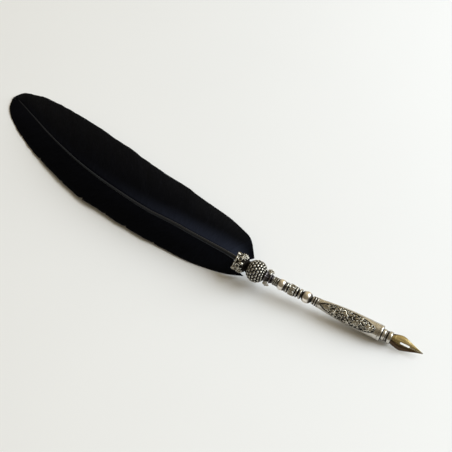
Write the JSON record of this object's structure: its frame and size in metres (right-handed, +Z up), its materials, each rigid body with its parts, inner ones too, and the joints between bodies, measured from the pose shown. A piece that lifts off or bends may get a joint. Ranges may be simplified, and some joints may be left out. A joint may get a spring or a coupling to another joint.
{
  "type": "quill pen",
  "caption": "Dip pen with a pull-out pointed nib, a pierced silver barrel, stacked beads, an owl figure and a long black feather.",
  "frame": {"origin": "middle of the bottom of the pen's box, on the plane that the pen lies on", "axes": "+X towards the nib along the pen, +Y towards the feather's wide side, +Z up from the plane"},
  "size_m": [0.3662, 0.0896, 0.0188],
  "materials": {
    "silver": "antiqued silver plate over cast zinc alloy, dark in the recesses, rubbed bright on the high points",
    "dark_silver": "blackened silver plate",
    "bronze_steel": "bronze-coloured pressed steel, darker brown at the edges",
    "steel": "plain turned steel",
    "black_lacquer": "black lacquer",
    "black_glass": "glossy black bead",
    "black_vane": "dyed black feather barbs with a soft satin sheen",
    "black_quill": "dyed black keratin, satin"
  },
  "bodies": {
    "pen": {"nib_clip": "steel", "ferrule_sleeve": "silver", "barrel_shell": "silver", "barrel_core": "black_lacquer", "barrel_panel_upper": "silver", "barrel_panel_lower": "silver", "neck_collar": "silver", "large_ball_bead": "silver", "crown_front_ring": "silver", "crown_bead": "silver", "spacer_disc": "dark_silver", "small_ball_bead": "silver", "ridged_tube_bead": "silver", "centre_rod": "steel", "owl_perch": "dark_silver", "owl_left_foot": "silver", "owl_right_foot": "silver", "owl_body": "silver", "owl_head": "silver", "owl_left_eye": "black_glass", "owl_right_eye": "black_glass", "feather_socket": "steel", "quill_shaft": "black_quill", "wide_vane": "black_vane", "narrow_vane": "black_vane"},
    "nib": {"nib": "bronze_steel"}
  },
  "joints": [
    {"name": "nib_slide", "type": "slide", "parent": "pen", "child": "nib", "axis": [0.9976, 0, -0.0698], "range_m": [0, 0.014]}
  ]
}
